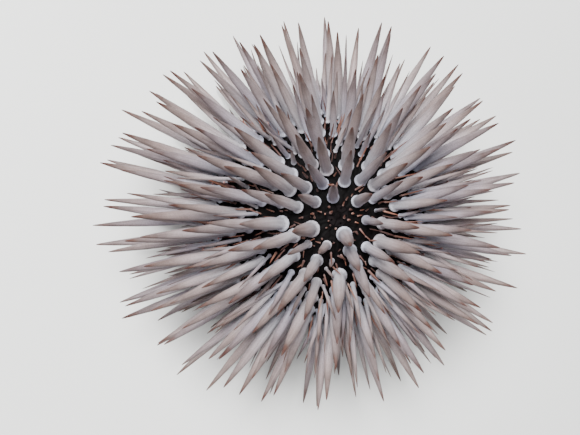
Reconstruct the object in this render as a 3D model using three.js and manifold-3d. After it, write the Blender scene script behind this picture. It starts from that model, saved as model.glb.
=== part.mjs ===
// A rock-boring sea urchin, life size, resting on its lower spines with its apex up.
// Millimetres, +Z up. Ten zones of plates meet between the apical disc and the mouth membrane,
// and each carries the large spines that grow from it in columns.

import * as THREE from "three";
import { mergeVertices } from "three/addons/utils/BufferGeometryUtils.js";
import Module from "manifold-3d";

const wasm = await Module();
wasm.setup();

// The test, the urchin's shell: long along X, with its widest level above the floor
const HALF_LENGTH = 29;
const HALF_WIDTH = 26;
const WIDEST_LEVEL = 19;
const UPPER_HEIGHT = 17;
const LOWER_HEIGHT = 12;
const ROUND_FACES = 36;
const GAP = 0.3;

// Where the test's axis stands in the part's frame, whose origin is under the middle of the spread
const TEST_PLACE = new THREE.Vector3(2.4, -0.8, 0);

// The ten zones, alternately interambulacra and ambulacra, anticlockwise from above
const ZONES = 10;
const ZONE_TURN = 360 / ZONES;
const FIRST_ZONE_AZIMUTH = -2;
const COLUMN_OFFSET = { interambulacrum: 9.4, ambulacrum: 8.6 };
const WIDE_COLUMN_OFFSET = 13;

// The apical disc and the mouth
const DISC_RADIUS = 2.9;
const DISC_DEPTH = 3;
const PLATES = 5;
const MOUTH_RADIUS = 10.7;
const MOUTH_TOP = 11;
const LIP_RADIUS = 3.4;
const LIP_THICKNESS = 0.9;
const TOOTH_LENGTH = 5;
const TOOTH_RADIUS = 1.1;
const MOUTH_FEET = 10;
const MOUTH_FOOT_RING = 7;

// The large spines at full size
const SPINE_SIDES = 5;
const LOWER_SPINE_SIDES = 4;
const LOWER_SPINES_FROM = 105;
const COLLAR_RADIUS = 1.85;
const COLLAR_HEIGHT = 1.4;
const NECK_RADIUS = 0.95;
const SHAFT_RADIUS = 1.22;
const TAPER_START = 0.7;
const TAPER_SHARE = 0.75;
const ROOT_DEPTH = 3;
const COLLAR_GAP = 0.15;
const SPINE_SPACING = 4.2;
const LENGTH_AT_APEX = 19.5;
const LENGTH_AT_SIDE = 29;
const LENGTH_AT_MOUTH = 17;
const SIZE_AT_MOUTH = 0.62;
const SIZE_AT_SIDE = 0.88;
const LAST_FOOT = 148;
const FOOT_BELOW_FLOOR = 1.5;

// The spines above the side radiate from this point, so that they all lean towards the open side,
// and they lean less across the test than along it
const FAN_FOCUS = new THREE.Vector3(9, -1.5, 6);
const CROSSWISE_LEAN = 0.75;
const LONGER_ON_OPEN_SIDE = 1.6;
const SPLAY_BELOW = 0.4;
const JITTER = 0.07;
const CLEARANCE = 0.35;
const SPREADING_ROUNDS = 60;
const SAMPLES = 8;

// Each column's first spine: its distance from the apex, its azimuth and its size.
// Columns run anticlockwise, two to a zone.
const FIRST_SPINES = [
  [6.8, 351, 0.65],
  [13.9, 12, 0.85],
  [9.3, 27, 0.7],
  [5.6, 41, 0.85],
  [10.0, 53, 0.85],
  [8.0, 80, 0.85],
  [4.4, 106, 0.85],
  [8.2, 113, 0.85],
  [9.9, 136, 0.9],
  [6.3, 147, 0.8],
  [9.6, 163, 0.85],
  [12.1, 189, 1.05],
  [7.0, 207, 1.1],
  [9.6, 226, 0.55],
  [7.4, 251, 0.65],
  [16.7, 256, 0.75],
  [14.2, 269, 1.05],
  [4.4, 284, 1.1],
  [9.9, 297, 0.8],
  [10.4, 326, 1.05],
];
const SMALL_SPINE = 0.62;
const SMALL_SPINE_CHANCE = 0.14;

// A zigzag column fills the middle of each zone where the zone is wide
const MIDDLE_COLUMN_START = 19.5;
const MIDDLE_COLUMN_VARIES = 4;
const MIDDLE_COLUMN_SIZE = 0.75;
const LAST_MIDDLE_FOOT = 138;
const ZIGZAG_OFFSET = 4.4;
const ZIGZAG_SPACING = 0.64;
const ITEMS_PER_COLUMN = 40;

const COLOURS = {
  interambulacrum: new THREE.Color(0.5, 0.42, 0.43),
  ambulacrum: new THREE.Color(0.46, 0.37, 0.39),
  apical_disc: new THREE.Color(0.09, 0.05, 0.06),
  peristome: new THREE.Color(0.16, 0.08, 0.09),
};

const radians = THREE.MathUtils.degToRad;
const mix = THREE.MathUtils.lerp;
const smooth = THREE.MathUtils.smoothstep;

// A number from 0 to 1 that is always the same for one item and one use
function chance(item, use) {
  const wave = Math.sin(item * 12.9898 + use * 78.233) * 43758.5453;
  return wave - Math.floor(wave);
}

function halfHeight(polar) {
  return polar < Math.PI / 2 ? UPPER_HEIGHT : LOWER_HEIGHT;
}

function surfacePoint(azimuth, polar) {
  return new THREE.Vector3(
    HALF_LENGTH * Math.sin(polar) * Math.cos(azimuth),
    HALF_WIDTH * Math.sin(polar) * Math.sin(azimuth),
    WIDEST_LEVEL + halfHeight(polar) * Math.cos(polar),
  );
}

function surfaceNormal(azimuth, polar) {
  return new THREE.Vector3(
    (Math.sin(polar) * Math.cos(azimuth)) / HALF_LENGTH,
    (Math.sin(polar) * Math.sin(azimuth)) / HALF_WIDTH,
    Math.cos(polar) / halfHeight(polar),
  ).normalize();
}

// How far along the surface one radian of polar angle goes
function meridianSpeed(azimuth, polar) {
  const reach = Math.hypot(HALF_LENGTH * Math.cos(azimuth), HALF_WIDTH * Math.sin(azimuth));
  return Math.hypot(reach * Math.cos(polar), halfHeight(polar) * Math.sin(polar));
}

function zoneKind(zone) {
  return zone % 2 ? "ambulacrum" : "interambulacrum";
}

// Keeps a foot inside its own zone, so that its root stays clear of the cut beside it
function insideZone(azimuth, zone, polar, size) {
  const middle = radians(FIRST_ZONE_AZIMUTH + ZONE_TURN * zone);
  const fromAxis = HALF_WIDTH * Math.sin(polar);
  const room = fromAxis * Math.sin(radians(ZONE_TURN / 2)) - GAP - NECK_RADIUS * size;
  const turn = Math.asin(Math.min(Math.max(room / fromAxis, 0), 1));
  return THREE.MathUtils.clamp(azimuth, middle - turn, middle + turn);
}

// Two main columns to a zone, and one between them where the zone is wide
function allColumns() {
  const main = FIRST_SPINES.map(([distance, azimuth, size], k) => {
    const zone = Math.floor(k / 2);
    return { order: k, zone, side: k % 2 ? 1 : -1, distance, azimuth, size, last: LAST_FOOT };
  });
  const middle = Array.from({ length: ZONES }, (_, zone) => ({
    order: main.length + zone,
    zone,
    side: 0,
    distance: MIDDLE_COLUMN_START + MIDDLE_COLUMN_VARIES * chance(main.length + zone, 8),
    azimuth: FIRST_ZONE_AZIMUTH + ZONE_TURN * zone,
    size: MIDDLE_COLUMN_SIZE,
    last: LAST_MIDDLE_FOOT,
  }));
  const columns = [...main, ...middle];
  return columns.map((c) => ({ ...c, count: 0, travelled: 0, due: c.distance }));
}

// A column's azimuth at one level, and how far its next foot steps to the side
function placeInColumn(column, polar) {
  const middle = FIRST_ZONE_AZIMUTH + ZONE_TURN * column.zone;
  const narrow = middle + column.side * COLUMN_OFFSET[zoneKind(column.zone)];
  const first = narrow + ((((column.azimuth - narrow) % 360) + 540) % 360) - 180;
  const widened = smooth(polar, radians(35), radians(75));
  const narrowed = smooth(polar, radians(125), radians(150));
  const wide = widened * (1 - narrowed);
  const zigzag = column.side ? 0 : wide * (column.count % 2 ? 1 : -1);
  const moved = middle + column.side * WIDE_COLUMN_OFFSET;
  const settled = mix(narrow, moved, wide) + zigzag * ZIGZAG_OFFSET;
  const drift = Math.exp(-Math.max(column.travelled - column.distance, 0) / 9);
  return { azimuth: radians(mix(settled, first, drift)), zigzag };
}

function footAt(column, azimuth, polar) {
  const item = column.order * ITEMS_PER_COLUMN + column.count;
  const below = smooth(polar, radians(95), radians(LAST_FOOT));
  const small = column.count > 1 && chance(item, 1) < SMALL_SPINE_CHANCE;
  const outer = smooth(polar, radians(32), radians(75));
  const usual = mix(0.84, 1.04, chance(item, 2)) * (small ? SMALL_SPINE : 1);
  const grown = usual * mix(1, SIZE_AT_SIDE, outer);
  const size = (column.count ? grown : column.size) * mix(1, SIZE_AT_MOUTH, below);
  const kept = insideZone(azimuth, column.zone, polar, size);
  return { item, zone: column.zone, polar, size, azimuth: kept };
}

// Whether a foot's collar stands clear of those already there
function isClear(foot, feet) {
  const root = surfacePoint(foot.azimuth, foot.polar);
  return feet.every((other) => {
    const apart = root.distanceTo(surfacePoint(other.azimuth, other.polar));
    return apart >= COLLAR_RADIUS * (foot.size + other.size) + COLLAR_GAP;
  });
}

// All columns are walked down together. A foot that is due waits until its collar is clear.
function allFeet() {
  const columns = allColumns();
  const feet = [];
  const step = radians(0.25);
  for (let polar = 0; polar < radians(LAST_FOOT); polar += step) {
    for (const column of columns.filter((c) => polar < radians(c.last))) {
      const { azimuth, zigzag } = placeInColumn(column, polar);
      const foot = footAt(column, azimuth, polar);
      if (column.travelled >= column.due && isClear(foot, feet)) {
        feet.push(foot);
        column.count += 1;
        const below = smooth(polar, radians(95), radians(LAST_FOOT));
        const spacing = SPINE_SPACING * mix(1, ZIGZAG_SPACING, Math.abs(zigzag));
        column.due += spacing * mix(0.94, 1.06, chance(foot.item, 3)) * mix(1, 0.86, below);
      }
      column.travelled += meridianSpeed(azimuth, polar) * step;
    }
  }
  return feet;
}

// Where a spine points before its neighbours push it, and how long it is
function poseSpine(foot) {
  const root = surfacePoint(foot.azimuth, foot.polar);
  const normal = surfaceNormal(foot.azimuth, foot.polar);
  const fan = root.clone().sub(FAN_FOCUS);
  fan.y *= CROSSWISE_LEAN;
  fan.normalize();
  const outward = new THREE.Vector3(root.x, root.y, 0).normalize();
  const splayed = normal.clone().addScaledVector(outward, SPLAY_BELOW).normalize();
  const below = smooth(foot.polar, radians(84), radians(128));
  const direction = fan.lerp(splayed, below);
  direction.x += JITTER * (2 * chance(foot.item, 4) - 1);
  direction.y += JITTER * (2 * chance(foot.item, 5) - 1);
  direction.z += JITTER * (2 * chance(foot.item, 6) - 1);
  const upper = mix(LENGTH_AT_APEX, LENGTH_AT_SIDE, Math.sin(Math.min(foot.polar, Math.PI / 2)));
  const lower = smooth(foot.polar, radians(92), radians(LAST_FOOT));
  const open = ((lower - 1) * LONGER_ON_OPEN_SIDE * root.x) / HALF_LENGTH;
  const slender = mix(0.62, 1, Math.min(foot.size, 1));
  const length = (mix(upper, LENGTH_AT_MOUTH, lower) + open) * slender;
  return {
    ...foot,
    root,
    normal,
    direction: direction.normalize(),
    length: length * mix(0.93, 1.05, chance(foot.item, 7)),
  };
}

// The shaft's radius at a share of its length
function radiusAt(spine, share) {
  const thick = SHAFT_RADIUS * spine.size;
  return share < TAPER_START
    ? mix(COLLAR_RADIUS * spine.size, thick, Math.min(share * 5, 1))
    : thick * mix(1, 0.1, (share - TAPER_START) / (1 - TAPER_START));
}

// Turns neighbouring spines apart until no two shafts or collars touch
function spreadSpines(spines) {
  const shares = Array.from({ length: SAMPLES }, (_, k) => (k + 0.5) / SAMPLES);
  const pairs = [];
  spines.forEach((a, i) => {
    for (let j = i + 1; j < spines.length; j += 1) {
      if (a.root.distanceTo(spines[j].root) < 22) pairs.push([a, spines[j]]);
    }
  });
  const apart = new THREE.Vector3();
  for (let round = 0; round < SPREADING_ROUNDS; round += 1) {
    for (const s of spines) {
      s.push = new THREE.Vector3();
      s.places = shares.map((t) => s.root.clone().addScaledVector(s.direction, s.length * t));
      s.radii = shares.map((t) => radiusAt(s, t));
    }
    for (const [a, b] of pairs) {
      a.places.forEach((p, i) => {
        b.places.forEach((q, j) => {
          apart.subVectors(p, q);
          const far = apart.length();
          const short = a.radii[i] + b.radii[j] + CLEARANCE - far;
          if (short > 0) {
            a.push.addScaledVector(apart, (0.25 * short * shares[i]) / far);
            b.push.addScaledVector(apart, (-0.25 * short * shares[j]) / far);
          }
        });
      });
    }
    for (const s of spines) {
      s.direction.multiplyScalar(s.length).add(s.push).normalize();
    }
  }
}

// A spine that would reach under the floor is as long as takes it just through, to be cut flat
function meetFloor(spine) {
  const reach = (spine.root.z + FOOT_BELOW_FLOOR) / Math.max(-spine.direction.z, 1e-6);
  if (spine.root.z + spine.direction.z * spine.length < -FOOT_BELOW_FLOOR) {
    spine.length = reach;
  }
}

function allSpines() {
  const spines = allFeet().map(poseSpine);
  spreadSpines(spines);
  spines.forEach(meetFloor);
  return spines;
}

// A closed three.js geometry as a solid
function toSolid(geometry) {
  const plain = new THREE.BufferGeometry();
  const loose = geometry.index ? geometry.toNonIndexed() : geometry;
  plain.setAttribute("position", loose.getAttribute("position"));
  const merged = mergeVertices(plain, 1e-4);
  const kept = [];
  const index = merged.index.array;
  for (let i = 0; i < index.length; i += 3) {
    const [a, b, c] = [index[i], index[i + 1], index[i + 2]];
    if (a !== b && b !== c && a !== c) kept.push(a, b, c);
  }
  return new wasm.Manifold(
    new wasm.Mesh({
      numProp: 3,
      vertProperties: merged.getAttribute("position").array,
      triVerts: new Uint32Array(kept),
    }),
  );
}

// A solid's largest closed body as a geometry
function toGeometry(solid) {
  const bodies = solid.decompose().sort((a, b) => b.volume() - a.volume());
  const mesh = bodies[0].getMesh();
  const geometry = new THREE.BufferGeometry();
  geometry.setAttribute("position", new THREE.BufferAttribute(mesh.vertProperties, 3));
  geometry.setIndex(new THREE.BufferAttribute(mesh.triVerts, 1));
  geometry.computeVertexNormals();
  return geometry;
}

function join(solids) {
  return wasm.Manifold.union(solids);
}

function spineSolid(spine) {
  const { size, length } = spine;
  const profile = [
    [0, -ROOT_DEPTH],
    [COLLAR_RADIUS * size, COLLAR_HEIGHT],
    [SHAFT_RADIUS * size * TAPER_SHARE, length * TAPER_START],
    [0, length],
  ].map(([r, h]) => new THREE.Vector2(r, h));
  const sides = spine.polar < radians(LOWER_SPINES_FROM) ? SPINE_SIDES : LOWER_SPINE_SIDES;
  const geometry = new THREE.LatheGeometry(profile, sides, spine.item);
  const up = new THREE.Vector3(0, 1, 0);
  geometry.applyQuaternion(new THREE.Quaternion().setFromUnitVectors(up, spine.direction));
  geometry.translate(...spine.root.toArray());
  return toSolid(geometry);
}

// The whole test as one solid, before it is parted
function testSolid() {
  const geometry = new THREE.SphereGeometry(1, ROUND_FACES, ROUND_FACES / 2);
  geometry.rotateX(Math.PI / 2);
  geometry.rotateZ(Math.PI / ROUND_FACES);
  const place = geometry.getAttribute("position");
  for (let i = 0; i < place.count; i += 1) {
    const height = place.getZ(i) > 0 ? UPPER_HEIGHT : LOWER_HEIGHT;
    place.setXYZ(
      i,
      place.getX(i) * HALF_LENGTH,
      place.getY(i) * HALF_WIDTH,
      WIDEST_LEVEL + place.getZ(i) * height,
    );
  }
  return toSolid(geometry);
}

function uprightCylinder(radius, low, high, sides) {
  const geometry = new THREE.CylinderGeometry(radius, radius, high - low, sides);
  geometry.rotateX(Math.PI / 2);
  geometry.translate(0, 0, (low + high) / 2);
  return toSolid(geometry);
}

// A tall wedge round the axis, as wide as one zone less half a gap on each side
function zoneWedge(zone) {
  const far = 4 * HALF_LENGTH;
  const turn = (degrees) => {
    const a = radians(FIRST_ZONE_AZIMUTH + ZONE_TURN * zone + degrees);
    return new THREE.Vector2(HALF_LENGTH * Math.cos(a), HALF_WIDTH * Math.sin(a)).normalize();
  };
  const inset = turn(0).multiplyScalar(GAP / 2 / Math.sin(radians(ZONE_TURN / 2)));
  const corners = [new THREE.Vector2(), turn(-ZONE_TURN / 2), turn(ZONE_TURN / 2)];
  const outline = corners.map((c) => c.multiplyScalar(far).add(inset));
  const depth = WIDEST_LEVEL + UPPER_HEIGHT + 1;
  return toSolid(
    new THREE.ExtrudeGeometry(new THREE.Shape(outline), { depth, bevelEnabled: false }),
  );
}

function floorBlock() {
  const side = 8 * HALF_LENGTH;
  return toSolid(new THREE.BoxGeometry(side, side, 20).translate(0, 0, -10));
}

// The plates of the apical disc, raised round the low dome over the anus
function apicalDisc(test) {
  const apex = WIDEST_LEVEL + UPPER_HEIGHT;
  const plug = uprightCylinder(DISC_RADIUS, apex - DISC_DEPTH, apex + 1, 16).intersect(test);
  const plates = Array.from({ length: PLATES }, (_, k) => {
    const azimuth = radians(FIRST_ZONE_AZIMUTH + 2 * ZONE_TURN * k);
    const plate = uprightCylinder(0.85, apex - 1, apex + 0.25, 5);
    return plate.translate([1.75 * Math.cos(azimuth), 1.75 * Math.sin(azimuth), 0]);
  });
  return join([plug, ...plates, uprightCylinder(0.6, apex - 1, apex + 0.45, 6)]);
}

// The mouth membrane with its lip, the tips of the five teeth and the ten feet round the mouth
function peristome(test) {
  const skin = WIDEST_LEVEL - LOWER_HEIGHT;
  const membrane = uprightCylinder(MOUTH_RADIUS, 0, MOUTH_TOP, 24).intersect(test);
  const lip = new THREE.TorusGeometry(LIP_RADIUS, LIP_THICKNESS, 5, 15).translate(0, 0, skin);
  const teeth = Array.from({ length: PLATES }, (_, k) => {
    const tooth = new THREE.ConeGeometry(TOOTH_RADIUS, TOOTH_LENGTH, 4);
    tooth.rotateX(-Math.PI / 2);
    tooth.rotateY(0.32);
    tooth.translate(1.6, 0, skin - TOOTH_LENGTH / 2 + 2.2);
    tooth.rotateZ(radians(FIRST_ZONE_AZIMUTH + 2 * ZONE_TURN * k));
    return toSolid(tooth);
  });
  const feet = Array.from({ length: MOUTH_FEET }, (_, k) => {
    const pair = Math.floor(k / 2) * 2 * ZONE_TURN + ZONE_TURN + (k % 2 ? 11 : -11);
    const azimuth = radians(FIRST_ZONE_AZIMUTH + pair);
    const stalk = uprightCylinder(0.5, skin - 1.8, skin + 2, 5);
    const sucker = uprightCylinder(0.85, skin - 2.4, skin - 1.7, 6);
    const at = [MOUTH_FOOT_RING * Math.cos(azimuth), MOUTH_FOOT_RING * Math.sin(azimuth), 0];
    return join([stalk, sucker]).translate(at);
  });
  return join([membrane, toSolid(lip), ...teeth, ...feet]);
}

function namedMesh(name, kind, solid) {
  const material = new THREE.MeshStandardMaterial({
    color: COLOURS[kind],
    roughness: 0.65,
    metalness: 0,
  });
  const mesh = new THREE.Mesh(toGeometry(solid), material);
  mesh.name = name;
  return mesh;
}

function buildUrchin() {
  const urchin = new THREE.Group();
  const test = testSolid();
  const floor = floorBlock();
  const spines = allSpines();
  const apex = WIDEST_LEVEL + UPPER_HEIGHT;
  const openings = join([
    uprightCylinder(DISC_RADIUS + GAP, apex - DISC_DEPTH - GAP, apex + 1, 16),
    uprightCylinder(MOUTH_RADIUS + GAP, 0, MOUTH_TOP + GAP, 24),
  ]);
  const shell = test.subtract(openings);
  for (let zone = 0; zone < ZONES; zone += 1) {
    const plates = shell.intersect(zoneWedge(zone));
    const grown = spines.filter((s) => s.zone === zone).map(spineSolid);
    const name = `${zoneKind(zone)}_${Math.floor(zone / 2) + 1}`;
    urchin.add(namedMesh(name, zoneKind(zone), join([plates, ...grown]).subtract(floor)));
  }
  urchin.add(namedMesh("apical_disc", "apical_disc", apicalDisc(test)));
  urchin.add(namedMesh("peristome", "peristome", peristome(test)));
  urchin.position.copy(TEST_PLACE);
  return urchin;
}

export default buildUrchin();
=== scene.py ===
"""A rock-boring sea urchin, life size: skin, spines, tube feet, teeth and the feet round the mouth.

Sizes here are millimetres in the test's own frame, and millimetres() turns them into the scene's metres.
"""

import math

import bpy
import numpy as np
from mathutils import Matrix, Vector


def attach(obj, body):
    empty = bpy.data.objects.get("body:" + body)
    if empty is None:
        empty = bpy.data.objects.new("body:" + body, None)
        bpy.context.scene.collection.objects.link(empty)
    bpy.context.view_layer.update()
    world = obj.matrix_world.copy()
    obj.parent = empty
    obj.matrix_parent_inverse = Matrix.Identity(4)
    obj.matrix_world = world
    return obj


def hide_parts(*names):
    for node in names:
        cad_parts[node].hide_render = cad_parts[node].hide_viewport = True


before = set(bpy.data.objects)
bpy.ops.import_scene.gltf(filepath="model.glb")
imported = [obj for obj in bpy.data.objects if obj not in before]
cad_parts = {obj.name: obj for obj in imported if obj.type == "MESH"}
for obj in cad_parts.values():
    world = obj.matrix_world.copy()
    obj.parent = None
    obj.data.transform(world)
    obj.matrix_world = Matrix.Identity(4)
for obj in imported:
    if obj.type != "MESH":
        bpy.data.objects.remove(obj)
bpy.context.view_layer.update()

# The test, as in the solids
HALF_LENGTH = 29.0
HALF_WIDTH = 26.0
WIDEST_LEVEL = 19.0
UPPER_HEIGHT = 17.0
LOWER_HEIGHT = 12.0
TEST_PLACE = np.array([2.4, -0.8, 0.0])
GAP = 0.3

# The ten zones, alternately interambulacra and ambulacra, anticlockwise from above. Azimuths and
# levels are degrees here and below, and a level is counted from the apex.
ZONES = 10
ZONE_TURN = 36
FIRST_ZONE_AZIMUTH = -2
COLUMN_OFFSET = (9.4, 8.6)
WIDE_COLUMN_OFFSET = 13
ZONE_WIDENS = (35, 75)
ZONE_NARROWS = (125, 150)

# The large spines, as in the solids
COLLAR_RADIUS = 1.85
NECK_RADIUS = 0.95
SHAFT_RADIUS = 1.22
COLLAR_NARROWING = 5
TAPER_START = 0.7
TIP_SHARE = 0.1
COLLAR_GAP = 0.15
SPINE_SPACING = 4.2
SPACING_VARIES = (0.94, 1.06)
SPACING_AT_MOUTH = 0.86
LENGTH_AT_APEX = 19.5
LENGTH_AT_SIDE = 29
LENGTH_AT_MOUTH = 17
LENGTH_VARIES = (0.93, 1.05)
LENGTH_IF_SLENDER = 0.62
SIZE_AT_MOUTH = 0.62
SIZE_AT_SIDE = 0.88
SIZE_VARIES = (0.84, 1.04)
LAST_FOOT = 148
SHRINK_OUTWARD = (32, 75)
SHRINK_DOWNWARD = (95, LAST_FOOT)
SHORTEN_DOWNWARD = (92, LAST_FOOT)
FOOT_BELOW_FLOOR = 1.5
FAN_FOCUS = np.array([9.0, -1.5, 6.0])
CROSSWISE_LEAN = 0.75
LONGER_ON_OPEN_SIDE = 1.6
SPLAY_BELOW = 0.4
SPLAY_SETS_IN = (84, 128)
JITTER = 0.07
CLEARANCE = 0.35
SPREADING_ROUNDS = 60
PUSH_SHARE = 0.25
NEIGHBOUR_REACH = 22
SAMPLES = 8

# The first spine of each main column: its distance from the apex, azimuth and size
FIRST_SPINES = [
    (6.8, 351, 0.65),
    (13.9, 12, 0.85),
    (9.3, 27, 0.7),
    (5.6, 41, 0.85),
    (10.0, 53, 0.85),
    (8.0, 80, 0.85),
    (4.4, 106, 0.85),
    (8.2, 113, 0.85),
    (9.9, 136, 0.9),
    (6.3, 147, 0.8),
    (9.6, 163, 0.85),
    (12.1, 189, 1.05),
    (7.0, 207, 1.1),
    (9.6, 226, 0.55),
    (7.4, 251, 0.65),
    (16.7, 256, 0.75),
    (14.2, 269, 1.05),
    (4.4, 284, 1.1),
    (9.9, 297, 0.8),
    (10.4, 326, 1.05),
]
SETTLING_LENGTH = 9
WALK_STEP = 0.25
ITEMS_PER_COLUMN = 40

# The smaller ones among them, and the column between the main two of a zone
SMALL_SPINE = 0.62
SMALL_SPINE_CHANCE = 0.14
MIDDLE_COLUMN_START = 19.5
MIDDLE_COLUMN_VARIES = 4
MIDDLE_COLUMN_SIZE = 0.75
LAST_MIDDLE_FOOT = 138
ZIGZAG_OFFSET = 4.4
ZIGZAG_SPACING = 0.64

# The render's large spines. Their foot and neck are heights and radii at full size, and their shaft
# is shares of the length and of its full radius.
SPINE_FACES = 28
SPINE_FOOT = [(-0.7, 0.8), (0.0, 0.92), (0.45, 1.08), (0.8, 1.42), (1.05, 1.7), (1.3, 1.8), (1.55, 1.76)]
SPINE_NECK = [(1.85, 1.62), (2.25, 1.47), (2.7, 1.4), (3.3, 1.38)]
FULL_SHAFT = 1.4
SHAFT_ABOVE_NECK = 0.3
SPINE_SHAFT = [
    (0.25, 1.0),
    (0.35, 1.0),
    (0.45, 0.97),
    (0.55, 0.9),
    (0.64, 0.8),
    (0.72, 0.68),
    (0.79, 0.56),
    (0.85, 0.44),
    (0.9, 0.34),
    (0.94, 0.25),
    (0.97, 0.17),
    (0.99, 0.1),
    (1.0, 0.015),
]
MILLED_EDGE = 0.012
MILLED_HEIGHT = 1.3
MILLED_REACH = 0.3
FLUTES = 0.012
UNEVEN = 0.03
UNEVEN_WAVE = 0.9
ABOUT_A_TURN = 6.3

# A material reads "along": it runs to this share over the collar, up to this height at full size
COLLAR_SHARE = 0.15
COLLAR_TOP = 3.3

# The bake map: a strip to each large spine, tooth and mouth foot, and a patch to each thin one
STRIP_MARGIN = 0.005
STRIP_HEIGHT = 0.99
SPINE_STRIP = 0.94
MOUTH_STRIP = 0.9
TUFT_PATCH = 0.003
TUFT_SPREAD = 0.996

# How the thin spines and feet find their places and ways. A spine in their way counts as full up to
# the first of the two shares of its length, and as nothing at the second.
THIN_GAP = 0.06
FLOOR_CLEARANCE = 0.06
TRIES = 9
WANDER = 0.13
CLEAR_FROM = 0.04
CLEAR_SAMPLES = 25
SAMPLES_SHORT = 2
COLLAR_REACH = 2.2
COUNTS_AS_FULL = (0.5, 1.05)
LIE_NEIGHBOURS = 3
LIE_RAISED = 0.3
APEX_BARE_RADIUS = 1.2
GAP_SCATTER = 0.35
GAP_FEET_TO = 152
GAP_FEET_START = 0.05
USUAL_AZIMUTH = 0.8
USUAL_RADIUS = 22

# The middling spines in the wider gaps between the large ones. They shorten between two levels that
# are given in radians.
MIDDLING_FACES = 12
MIDDLING_FIRST = 17
MIDDLING_FROM = 38
MIDDLING_APEX_GAP = 1.35
MIDDLING_APEX_SCALE = 0.62
MIDDLING_SPACING = 1.6
MIDDLING_SIZE = (0.32, 0.58)
MIDDLING_LENGTH = (12.0, 21.0)
MIDDLING_SHORTEST = 8.0
MIDDLING_SHORTENS = (1.7, 2.5)
MIDDLING_SHORTER_BY = 0.5
MIDDLING_LEAST_ROOM = 0.1
MIDDLING_ROOM = 0.2

# The small spines in what is left
SMALL_FACES = 6
SMALL_SPACING = 1.75
SMALL_LEAST_GAP = 0.25
SMALL_RADIUS = (0.15, 0.32)
SMALL_THINNEST = 0.7
SMALL_THICKER_BY_GAP = 0.3
SMALL_THICKEST = 1.15
SMALL_LENGTH = (4.5, 11.0)
SMALL_SHORTEST = 1.2
SMALL_LENGTHEN = (-6, 15)
SMALL_PROFILE = [(-0.06, 0.7), (0.03, 1.0), (0.06, 1.2), (0.11, 0.92), (0.5, 0.85), (0.8, 0.5), (1.0, 0.06)]

# The tube feet, from the pores at both sides of each ambulacrum. The room is the radius to keep clear,
# as a multiple of a foot's own.
TUBE_FEET_FROM = 55
TUBE_FEET_TO = 148
TUBE_FOOT_FACES = 7
TUBE_FOOT_SPACING = 1.7
TUBE_FOOT_SCATTER = (0.8, 1.3)
TUBE_FOOT_RADIUS = 0.13
TUBE_FOOT_LENGTH = (3.0, 9.0)
TUBE_FOOT_SHORTEST = 1.5
TUBE_FOOT_BEND = 0.03
TUBE_FOOT_RAISED = 0.5
TUBE_FOOT_ROOM = 1.7
TUBE_FOOT_WANDER = 0.4
TUBE_FOOT_PROFILE = [
    (-0.05, 1.3),
    (0.08, 1.0),
    (0.3, 0.9),
    (0.5, 0.85),
    (0.7, 0.8),
    (0.88, 0.8),
    (0.92, 1.5),
    (0.95, 2.1),
    (0.98, 2.2),
    (1.0, 1.9),
]

# The skin
SKIN_AROUND = 340
SKIN_DOWN = 205
DISC_DOWN = 50
SKIN_SINK = 0.45
SKIN_TOP_HOLE = 0.004
SKIN_BOTTOM_HOLE = 0.02
BOSS_HEIGHT = 0.5
BOSS_SLOPE = (0.5, 2.1)
KNOB_HEIGHT = 0.25
KNOB_SLOPE = (0.2, 0.85)
MOAT_RING = 2.2
MOAT_DEPTH = 0.05
MOAT_WIDTH = 0.3
SUTURE_DEPTH = 0.12
MIDDLE_SEAM = 0.28
EDGE_SEAM = 0.3
ROW_SEAM = 0.25
SEAM_ZIGZAG = 0.9
SEAM_ZIGZAG_MIDDLE = 0.22
SEAM_ZIGZAG_WIDTH = 1.6
PLATE_HEIGHT = 2.6
PORE_DEPTH = 0.12
PORE_FROM_EDGE = 1.2
PORE_BAND = 0.5
PORES_PER_PLATE = 2.5
PORE_OPENS = 0.3

# The apical disc
DISC_RADIUS = 2.9
PERIPROCT_RADIUS = 0.9
APICAL_PLATES = 5
APICAL_PLATE_HEIGHT = 0.28
INNER_SLOPE = 0.2
OUTER_EDGE = 2.4
APICAL_SEAM_DEPTH = 0.22
APICAL_SEAM_WIDTH = 0.13
APICAL_SEAM_ABOVE = 0.02
GENITAL_PORE_RING = 1.95
GENITAL_PORE_DEPTH = 0.5
GENITAL_PORE_WIDTH = 0.17
DOME_HEIGHT = 0.45
DOME_TOP = 0.1
DOME_LOBES = 9
DOME_LOBE_SHARE = 0.12
SIEVE_PLATE = 2
SIEVE_DEPTH = 0.05
SIEVE_WAVE = 22
SIEVE_ABOVE = 0.2

# The mouth
MOUTH_RADIUS = 10.7
MOUTH_EDGE = 0.8
MOUTH_SINK = 0.15
MOUTH_HOLLOW = 2.2
MOUTH_HOLLOW_SLOPE = (1.7, 2.8)
FOLDS = 40
FOLD_HEIGHT = 0.12
FOLD_SWAY = 2
FOLD_SWAY_WAVE = 1.3
FOLDS_FADE_OVER = 2
RIM_WAVE = 5
RIM_HEIGHT = 0.08
RIM_SWAY = 1.5
RIM_LOBES = 5
LIP_RADIUS = 3.4
LIP_THICKNESS = 0.9
LIP_WIDTH = 0.8
LIP_PLEATS = 25
LIP_PLEAT_SHARE = 0.16
SOFT_SKIN_EDGE = 1.2
SOFT_SKIN_INNER_EDGE = (1.4, 2.6)
TEETH = 5
TOOTH_PATH = [(2.4, 8.6, 0.75), (2.15, 7.4, 0.85), (1.75, 6.3, 0.8), (1.3, 5.3, 0.6), (0.85, 4.4, 0.3)]
TOOTH_SECTION = [(-1, 0.3), (0, 0.5), (1, 0.3), (0.9, 0), (0.3, -0.4), (0, -0.9), (-0.3, -0.4), (-0.9, 0)]
TOOTH_TONE = 0.5
MOUTH_FEET = 10
MOUTH_FOOT_RING = 7
MOUTH_FOOT_SPREAD = 11
MOUTH_FOOT_FACES = 20
MOUTH_FOOT_RIDGE = 0.04
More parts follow.
